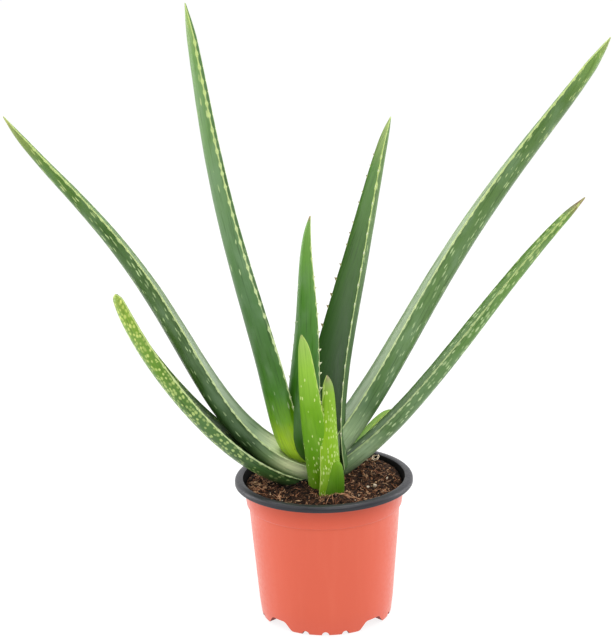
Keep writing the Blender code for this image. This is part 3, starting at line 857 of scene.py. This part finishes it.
def gap_cutter():
    """The gaps between the feet, as one helper mesh."""
    bm = bmesh.new()
    below = 3.0
    slope = (GAP_BOTTOM_WIDTH - GAP_TOP_WIDTH) / 2 / FOOT_HEIGHT
    corner = 1.5
    foot_round = 0.6
    half_foot = GAP_BOTTOM_WIDTH / 2
    half_top = GAP_TOP_WIDTH / 2
    top = FOOT_HEIGHT - 0.02
    half_outline = [
        (half_foot + 1.6, -below),
        (half_foot + 1.2, -0.05),
        (half_foot + 0.35, foot_round * 0.45),
        (half_foot - slope * foot_round * 1.6, foot_round * 1.6),
        (half_top + slope * corner, top - corner),
        (half_top + slope * corner * 0.3, top - corner * 0.45),
        (half_top - corner * 0.4, top - corner * 0.1),
        (half_top - corner, top),
    ]
    outline = half_outline + [(-x, z) for x, z in reversed(half_outline)]
    for foot in range(FOOT_COUNT):
        out = outward(foot + 0.5)
        side = Vector((-out.y, out.x, 0))
        ends = []
        for reach in (CUT_NEAR, CUT_FAR):
            spots = [out * reach + side * x + Vector((0, 0, z)) for x, z in outline]
            ends.append([bm.verts.new(spot * MM) for spot in spots])
            bm.faces.new(ends[-1])
        for i in range(len(outline)):
            j = (i + 1) % len(outline)
            bm.faces.new((ends[0][i], ends[0][j], ends[1][j], ends[1][i]))
    return cutter_object("gap_cutter", bm)


def notch_cutter():
    """The small notches under each foot, as one helper mesh."""
    bm = bmesh.new()
    radius, depth = NOTCH_RADIUS * MM, (CUT_FAR - CUT_NEAR) * MM
    for foot in range(FOOT_COUNT):
        for place in (-1, 0, 1):
            out = outward(foot, NOTCH_SPREAD * place)
            made = bmesh.ops.create_cone(
                bm, cap_ends=True, segments=28, radius1=radius, radius2=radius, depth=depth
            )
            lay = out.to_track_quat("Z", "X").to_matrix()
            bmesh.ops.rotate(bm, verts=made["verts"], cent=(0, 0, 0), matrix=lay)
            move = (out * (CUT_FAR + CUT_NEAR) / 2 + Vector((0, 0, NOTCH_AXIS_HEIGHT))) * MM
            bmesh.ops.translate(bm, verts=made["verts"], vec=move)
    return cutter_object("notch_cutter", bm)


def recess_painted_shade():
    """Painted shade: the darker faces inside the foot gaps and notches, which stand in for the
    shadow there.
    """
    if "recess_painted_shade" in bpy.data.materials:
        return bpy.data.materials["recess_painted_shade"]
    made, tree, shader = new_material("recess_painted_shade", 0.6, 0.2)
    grain = noise_at(tree, object_place(tree), 500.0, 3.0)
    # painted shade: dark brown tones for the faces inside the gaps and notches
    body = mix(tree, grain, srgb(150, 50, 40), srgb(104, 30, 24))
    surface(tree, shader, body, grain, 0.0001, 0.5)
    return made


def orange_plastic():
    made, tree, shader = new_material("orange_plastic", 0.4, 0.35)
    shader.inputs["Coat Weight"].default_value = 0.5
    shader.inputs["Coat Roughness"].default_value = 0.25
    shader.inputs["Coat IOR"].default_value = 1.35
    place = object_place(tree)
    height = node(tree, "ShaderNodeSeparateXYZ", {0: place}).outputs[2]
    haze = noise_at(tree, stretched(tree, place, (30.0, 30.0, 14.0)), 1.0, 3.0)
    flow = noise_at(tree, stretched(tree, place, (160.0, 160.0, 12.0)), 1.0, 2.0)
    body = mix(tree, haze, srgb(220, 90, 60), srgb(226, 96, 66))
    body = mix(tree, step(tree, flow, 0.4, 0.8, 0.0, 0.18), body, srgb(230, 108, 78))
    # painted shade: a darker band on the wall just below the rim, standing in for the rim's shadow
    under_rim_shade = step(tree, height, 0.074, 0.09)
    body = mix(tree, calc(tree, "MULTIPLY", under_rim_shade, 0.8), body, srgb(208, 74, 42))
    foot = step(tree, height, 0.016, 0.006)
    body = mix(tree, calc(tree, "MULTIPLY", foot, 0.35), body, srgb(220, 92, 66))
    dust = noise_at(tree, place, 420.0, 4.0, 0.6)
    tree.links.new(step(tree, dust, 0.3, 0.75, 0.34, 0.5), shader.inputs["Roughness"])
    skin = calc(tree, "ADD", calc(tree, "MULTIPLY", haze, 2.0), calc(tree, "MULTIPLY", dust, 0.12))
    surface(tree, shader, body, skin, 0.00025, 0.5)
    return made


def black_plastic():
    made, tree, shader = new_material("black_plastic", 0.4, 0.5)
    place = object_place(tree)
    haze = noise_at(tree, place, 90.0, 3.0)
    dust = noise_at(tree, place, 700.0, 4.0, 0.65)
    body = mix(tree, haze, srgb(26, 26, 33), srgb(38, 38, 46))
    body = mix(tree, step(tree, dust, 0.62, 0.78, 0.0, 0.35), body, srgb(96, 92, 92))
    tree.links.new(step(tree, dust, 0.3, 0.8, 0.32, 0.55), shader.inputs["Roughness"])
    surface(tree, shader, body, dust, 0.0001, 0.4)
    return made


def inner_plastic():
    made, tree, shader = new_material("inner_plastic", 0.75, 0.08)
    dust = noise_at(tree, object_place(tree), 500.0, 4.0, 0.65)
    body = mix(tree, step(tree, dust, 0.55, 0.8), srgb(12, 11, 11), srgb(44, 34, 28))
    surface(tree, shader, body, dust, 0.0002, 0.5)
    return made


def build_pot():
    bm = turned_mesh(POT_INSIDE + RIM_TOP + POT_OUTSIDE, POT_TURNS)
    for face in bm.faces:
        middle = face.calc_center_median() / MM
        radius = hypot(middle.x, middle.y)
        outside = face.normal.x * middle.x + face.normal.y * middle.y > 0 or middle.z < POT_FLOOR
        flange = middle.z > FLANGE_HEIGHT or radius > WALL_RADIUS
        face.material_index = BODY if outside and not flange else RIM
        if middle.z < POT_FLOOR and face.normal.z < 0:
            face.material_index = BODY
        elif not outside and middle.z < LINING_HEIGHT and radius < LINING_RADIUS:
            face.material_index = LINING
    looks = orange_plastic(), black_plastic(), inner_plastic()
    pot = add_object("pot_shell", mesh_of("pot_shell", bm, *looks))
    cutters = [gap_cutter(), notch_cutter()]
    for cutter in cutters:
        cut = pot.modifiers.new(cutter.name, "BOOLEAN")
        cut.operation = "DIFFERENCE"
        cut.solver = "EXACT"
        cut.material_mode = "TRANSFER"
        cut.object = cutter
    bpy.context.view_layer.update()
    graph = bpy.context.evaluated_depsgraph_get()
    real = bpy.data.meshes.new_from_object(pot.evaluated_get(graph))
    pot.modifiers.clear()
    pot.data = real
    for cutter in cutters:
        bpy.data.objects.remove(cutter, do_unlink=True)
    real.transform(Matrix.Translation(POT_AXIS))
    real.shade_smooth()
    real.set_sharp_from_angle(angle=SHARP_ANGLE)
    settle(pot, "pot_plastic", "nursery_pot")


# Soil


# (x, y) of each heap's middle, its reach along X and Y, and its height, in millimetres
HEAPS = [
    (-13, -15, 9, 6, 1.8), (-12, -23, 10, 6, 4.2), (7, -38, 11, 5.5, 4.6), (-50, 0, 14, 26, 2.2),
    (42, 24, 26, 26, 4.0),
]
CRUMB_COUNT = 2900
HEAP_CRUMB_COUNT = 110
FIBRE_COUNT = 620
GROUND_RINGS = 72
EDGE_FALL_WIDTH = 1.2
EDGE_FALL = 1.5
POT_WALL_INSIDE = [(50.6, 79.2), (49.6, 78.0), (44.3, 11.0), (42.9, 8.1)]


def soil_height(x, y):
    """Height of the soil's ground level at a place given in millimetres from the pot's axis."""
    share = min(hypot(x, y) * MM / MOUND_RADIUS, 1.0)
    level = (SOIL_EDGE + SOIL_RISE * (1 - share**2) ** 1.5) / MM
    for middle_x, middle_y, reach_x, reach_y, height in HEAPS:
        slope = -(((x - middle_x) / reach_x) ** 2) - ((y - middle_y) / reach_y) ** 2
        level += height * exp(slope)
    return level


def soil_point(x, y):
    """The crumbly surface, in millimetres."""
    spot = Vector((x, y, 0))
    lumps = 1.3 * noise.noise(spot / 7.0) + 0.8 * noise.noise(spot / 3.0 + Vector((5, 1, 0)))
    crumbs = 0.55 * abs(noise.noise(spot / 1.3)) + 0.3 * noise.noise(spot / 0.7)
    return soil_height(x, y) - 0.6 + lumps + crumbs


def peat_material():
    made, tree, shader = new_material("peat_ground", 0.9, 0.25)
    place = object_place(tree)
    coarse = noise_at(tree, place, 380.0, 5.0, 0.7)
    fine = noise_at(tree, place, 1500.0, 5.0, 0.7)
    tones = (0.3, 22, 12, 8), (0.48, 56, 34, 22), (0.6, 122, 82, 56), (0.75, 184, 138, 102)
    body = mix(tree, step(tree, fine, 0.4, 0.62), srgb(22, 13, 9), ramp(tree, coarse, *tones))
    surface(tree, shader, body, calc(tree, "ADD", coarse, fine), 0.0008)
    return made


def loose_material(name, colours, roughness, grain_scale):
    """For many small bits in one mesh, each with its own tone."""
    made, tree, shader = new_material(name, roughness, 0.25)
    tone = attribute(tree, "tone")
    grain = noise_at(tree, object_place(tree), grain_scale, 4.0, 0.65)
    count = len(colours) - 1
    body = ramp(tree, tone, *((i / count, *colour) for i, colour in enumerate(colours)))
    body = mix(tree, step(tree, grain, 0.4, 0.75, 0.0, 0.4), body, srgb(24, 15, 11))
    surface(tree, shader, body, grain, 0.0004)
    return made


def build_ground():
    """Rings of about even cells for the surface, then a skirt and a floor against the pot."""
    plan, counts, starts, faces, points = [(0.0, 0.0)], [], [0], [], []
    reach = SOIL_RADIUS / MM
    for k in range(1, GROUND_RINGS + 1):
        radius = reach * k / GROUND_RINGS
        count = max(8, int(2 * pi * radius / 0.75 / 6) * 6)
        counts.append(count)
        starts.append(len(plan))
        plan += circle(count, radius)
    for x, y in plan:
        edge = max(0.0, (hypot(x, y) - (reach - EDGE_FALL_WIDTH)) / EDGE_FALL_WIDTH)
        points.append(POT_AXIS + Vector((x, y, soil_point(x, y) - EDGE_FALL * edge)) * MM)
    for i in range(counts[0]):
        faces.append((0, 1 + i, 1 + (i + 1) % counts[0]))
    for k in range(1, GROUND_RINGS):
        a, b = starts[k], starts[k + 1]
        na, nb = counts[k - 1], counts[k]
        i = j = 0
        while i < na or j < nb:
            if j * na <= i * nb and j < nb:
                faces.append((a + i % na, b + j % nb, b + (j + 1) % nb))
                j += 1
            else:
                faces.append((a + i % na, b + j % nb, a + (i + 1) % na))
                i += 1
    before, count = starts[-1], counts[-1]
    for radius, height in POT_WALL_INSIDE:
        here = len(points)
        points += [POT_AXIS + Vector((x, y, height)) * MM for x, y in circle(count, radius)]
        for i in range(count):
            j = (i + 1) % count
            faces.append((before + i, here + i, here + j, before + j))
        before = here
    points.append(POT_AXIS + Vector((0, 0, POT_WALL_INSIDE[-1][1])) * MM)
    for i in range(count):
        faces.append((before + i, len(points) - 1, before + (i + 1) % count))
    piece = mesh_piece("peat_ground", points, faces, [peat_material()])
    face_outward(piece.data)
    settle(piece, "peat", "potting_soil")


def scatter_place(reach=51.0):
    while True:
        x, y = RANDOM.uniform(-reach, reach), RANDOM.uniform(-reach, reach)
        if hypot(x, y) < reach:
            return x, y


def lump(points, faces, values, centre, size, tone, squash=0.75):
    """Adds one irregular bit, centred at a place in millimetres."""
    seed = Vector((RANDOM.uniform(0, 90), RANDOM.uniform(0, 90), RANDOM.uniform(0, 90)))
    angle = RANDOM.uniform(0, 6.28)
    turn = Matrix.Rotation(angle, 3, Vector((RANDOM.gauss(0, 1), 0.3, 1)).normalized())
    scale = Vector((1.0, RANDOM.uniform(0.55, 1.0), squash * RANDOM.uniform(0.6, 1.0)))

    def place_of(co):
        rough = 1 + 0.45 * noise.noise(co * 1.3 + seed) + 0.2 * noise.noise(co * 3 + seed)
        return POT_AXIS + (centre + turn @ (co * scale) * size * rough) * MM

    corners, _ = add_ball(points, faces, place_of)
    values += [tone] * corners


def build_crumbs():
    points, faces, tones = [], [], []
    for _ in range(CRUMB_COUNT):
        x, y = scatter_place()
        size = min(1.4, 0.24 + RANDOM.expovariate(4.2))
        tone = RANDOM.random() ** (0.9 if x > 8 else 1.6)
        if hypot((x + 13) / 13, (y + 19) / 11) < 1:
            tone *= 0.2
        centre = Vector((x, y, soil_point(x, y) + size * 0.15))
        lump(points, faces, tones, centre, size, tone)
    for _ in range(HEAP_CRUMB_COUNT):
        x, y = RANDOM.gauss(-13, 6), RANDOM.gauss(-15, 3.4)
        size = RANDOM.uniform(0.6, 1.5)
        centre = Vector((x, y, soil_point(x, y) + size * RANDOM.uniform(0.2, 0.9)))
        lump(points, faces, tones, centre, size, 0.05 * RANDOM.random())
    colours = [(16, 9, 7), (38, 22, 14), (92, 58, 38), (158, 108, 76), (222, 178, 138)]
    look = loose_material("peat_crumbs", colours, 0.9, 1800.0)
    settle(mesh_piece("peat_crumbs", points, faces, [look], {"tone": tones}), "peat")


def strand(points, faces, values, spots, radius, tone, sides=4):
    """Adds one thin tube along spots, given in millimetres."""
    start = len(points)
    for k, spot in enumerate(spots):
        ahead = spots[min(k + 1, len(spots) - 1)] - spots[max(k - 1, 0)]
        side = ahead.cross(Vector((0.13, 0.2, 1))).normalized()
        up = side.cross(ahead).normalized()
        wide = radius * (0.45 if k in (0, len(spots) - 1) else 1.0)
        points += [POT_AXIS + (spot + (side * x + up * y) * wide) * MM for x, y in circle(sides)]
        values += [tone] * sides
    last = start + (len(spots) - 1) * sides
    for low in range(start, last, sides):
        band(faces, low, low + sides, sides)
    faces.append(tuple(start + i for i in reversed(range(sides))))
    faces.append(tuple(last + i for i in range(sides)))


def build_fibres():
    points, faces, tones = [], [], []
    for n in range(FIBRE_COUNT):
        if n < 90:
            x, y = RANDOM.gauss(8, 8), RANDOM.gauss(-32, 3.0)
            tone = RANDOM.uniform(0.55, 1.0)
        elif n < 170:
            x, y = RANDOM.gauss(-43, 4), RANDOM.gauss(-8, 8)
            tone = RANDOM.uniform(0.4, 1.0)
        else:
            x, y = scatter_place(50)
            tone = RANDOM.random()
        if hypot(x, y) > 50.5:
            continue
        length = RANDOM.uniform(1.8, 7.0)
        turn = RANDOM.uniform(0, 2 * pi)
        curl = RANDOM.gauss(0, 0.28)
        rise = RANDOM.uniform(-0.05, 0.25)
        spots = []
        for k in range(7):
            if hypot(x, y) > 51.8:
                break
            hop = 0.5 + RANDOM.uniform(0.0, 0.35) + rise * k * length / 6
            spots.append(Vector((x, y, soil_point(x, y) + hop)))
            x += cos(turn) * length / 6
            y += sin(turn) * length / 6
            turn += curl + RANDOM.gauss(0, 0.15)
        if len(spots) > 2:
            strand(points, faces, tones, spots, RANDOM.uniform(0.08, 0.22), tone)
    colours = [(66, 40, 26), (120, 76, 50), (174, 114, 80), (210, 154, 116), (232, 190, 150)]
    look = loose_material("peat_fibres", colours, 0.8, 2200.0)
    settle(mesh_piece("peat_fibres", points, faces, [look], {"tone": tones}), "peat")


# (x, y) from the pot's axis and the size of each pale chip, in millimetres
CHIPS = [
    (42.5, -0.8, 0.9), (33.8, -15.2, 1.5), (29.0, -18.6, 1.1), (22.7, -29.1, 0.7),
    (-10.8, -16.5, 0.6), (15.3, 14.9, 1.0), (17.5, 16.5, 0.8), (-44.0, 6.0, 0.8),
    (20.0, -40.0, 0.6), (39.0, -22.0, 0.6), (30.0, 30.0, 0.8), (-20.0, 36.0, 0.9),
    (-34.0, 25.0, 0.7), (5.0, 43.0, 0.8), (-28.0, -34.0, 0.6),
]
TAN_CHUNKS = [
    (-46.0, -3.0, 1.7), (-43.0, -8.0, 1.4), (-39.0, -14.0, 1.2), (27.0, -34.0, 1.1),
    (12.0, 40.0, 1.5),
]


def build_chips():
    points, faces, tones = [], [], []
    for x, y, size in CHIPS:
        centre = Vector((x, y, soil_point(x, y) + 0.7 + size * 0.5))
        lump(points, faces, tones, centre, size, RANDOM.uniform(0.55, 1.0))
    for x, y, size in TAN_CHUNKS:
        centre = Vector((x, y, soil_point(x, y) + 0.5 + size * 0.4))
        lump(points, faces, tones, centre, size, RANDOM.uniform(0.0, 0.3), 0.5)
    # a dry rootlet curled into a ring
    for turns, tone, lift in ((1.25, 0.9, 0.0), (0.8, 0.7, 0.9)):
        spots = []
        for k in range(26):
            turn = 2 * pi * turns * k / 25 + 2 * lift
            radius = 2.3 + 0.4 * sin(3 * turn) - 0.5 * lift
            x = 36.4 + radius * cos(turn)
            y = 34.5 + radius * 1.5 * sin(turn)
            rise = 1.4 + 1.1 * sin(turn + 0.6) + lift
            spots.append(Vector((x, y, soil_height(x, y) + rise)))
        strand(points, faces, tones, spots, 0.3, tone, 6)
    made, tree, shader = new_material("pale_chips", 0.75, 0.35)
    tone = attribute(tree, "tone")
    grain = noise_at(tree, object_place(tree), 1500.0, 3.0, 0.6)
    body = ramp(tree, tone, (0.0, 172, 128, 92), (0.45, 208, 176, 136), (1.0, 240, 226, 204))
    body = mix(tree, step(tree, grain, 0.4, 0.8, 0.0, 0.45), body, srgb(150, 116, 84))
    surface(tree, shader, body, grain, 0.0003)
    settle(mesh_piece("pale_chips", points, faces, [made], {"tone": tones}), "peat")


# Surroundings


def build_floor():
    made, tree, shader = new_material("studio_floor", 0.9, 0.0)
    grain = noise_at(tree, object_place(tree), 3.0, 2.0)
    body = mix(tree, grain, srgb(120, 120, 120), srgb(126, 126, 126))
    tree.links.new(body, shader.inputs["Base Color"])
    shader.inputs["Emission Color"].default_value = (1.0, 1.0, 1.0, 1.0)
    shader.inputs["Emission Strength"].default_value = 0.85
    far = 12.0
    corners = [(-far, -far, 0.0), (far, -far, 0.0), (far, far, 0.0), (-far, far, 0.0)]
    floor = mesh_piece("studio_floor", corners, [(0, 1, 2, 3)], [made])


LIGHT_AIM = Vector((0.0, 0.0, 0.2))


def softbox(name, place, size, power):
    light = bpy.data.lights.new(name, "AREA")
    light.shape = "RECTANGLE"
    light.size, light.size_y = size
    light.energy = power
    made = add_object(name, light)
    made.location = place
    made.rotation_euler = (LIGHT_AIM - Vector(place)).to_track_quat("-Z", "Y").to_euler()


def build_light():
    world = bpy.data.worlds.new("studio")
    bpy.context.scene.world = world
    world.use_nodes = True
    tree = world.node_tree
    tree.nodes.clear()
    way = node(tree, "ShaderNodeTexCoord").outputs["Generated"]
    back = node(tree, "ShaderNodeSeparateXYZ", {0: way}).outputs[1]
    strength = step(tree, back, -0.6, 0.15, 0.3, 1.08)
    background = node(tree, "ShaderNodeBackground", {"Color": (1, 1, 1, 1), "Strength": strength})
    out = node(tree, "ShaderNodeOutputWorld")
    tree.links.new(background.outputs[0], out.inputs[0])
    softbox("key_softbox", (0.5, -1.1, 1.5), (1.0, 1.0), 13.0)
    softbox("fill_softbox", (-1.1, -0.9, 1.0), (0.9, 0.9), 5.0)
    softbox("top_softbox", (0.0, 0.5, 1.6), (1.4, 1.0), 10.0)
    softbox("left_strip", (-1.0, 0.35, 0.35), (0.35, 1.1), 4.5)
    softbox("right_strip", (1.0, 0.35, 0.35), (0.35, 1.1), 4.5)


CAMERA_PITCH = radians(15.965)
CAMERA_ROLL = radians(-1.322)
CAMERA_LENS = 106.875
CAMERA_OFFSET = Vector((-9.257, -1201.66, 549.96))


def build_camera():
    forward = Vector((0, cos(CAMERA_PITCH), -sin(CAMERA_PITCH)))
    level = Vector((1, 0, 0))
    upright = level.cross(forward)
    right = level * cos(CAMERA_ROLL) + upright * sin(CAMERA_ROLL)
    up = upright * cos(CAMERA_ROLL) - level * sin(CAMERA_ROLL)
    data = bpy.data.cameras.new("camera")
    data.lens = CAMERA_LENS
    data.sensor_width = 36.0
    data.clip_end = 60.0
    camera = add_object("camera", data)
    turn = Matrix((right, up, -forward)).transposed().to_4x4()
    camera.matrix_world = Matrix.Translation(POT_AXIS + CAMERA_OFFSET * MM) @ turn
    bpy.context.scene.camera = camera


bpy.context.scene.view_settings.view_transform = "Standard"
build_camera()
build_light()
build_floor()
build_pot()
build_ground()
build_crumbs()
build_fibres()
build_chips()
build_leaves()
dress_stems()
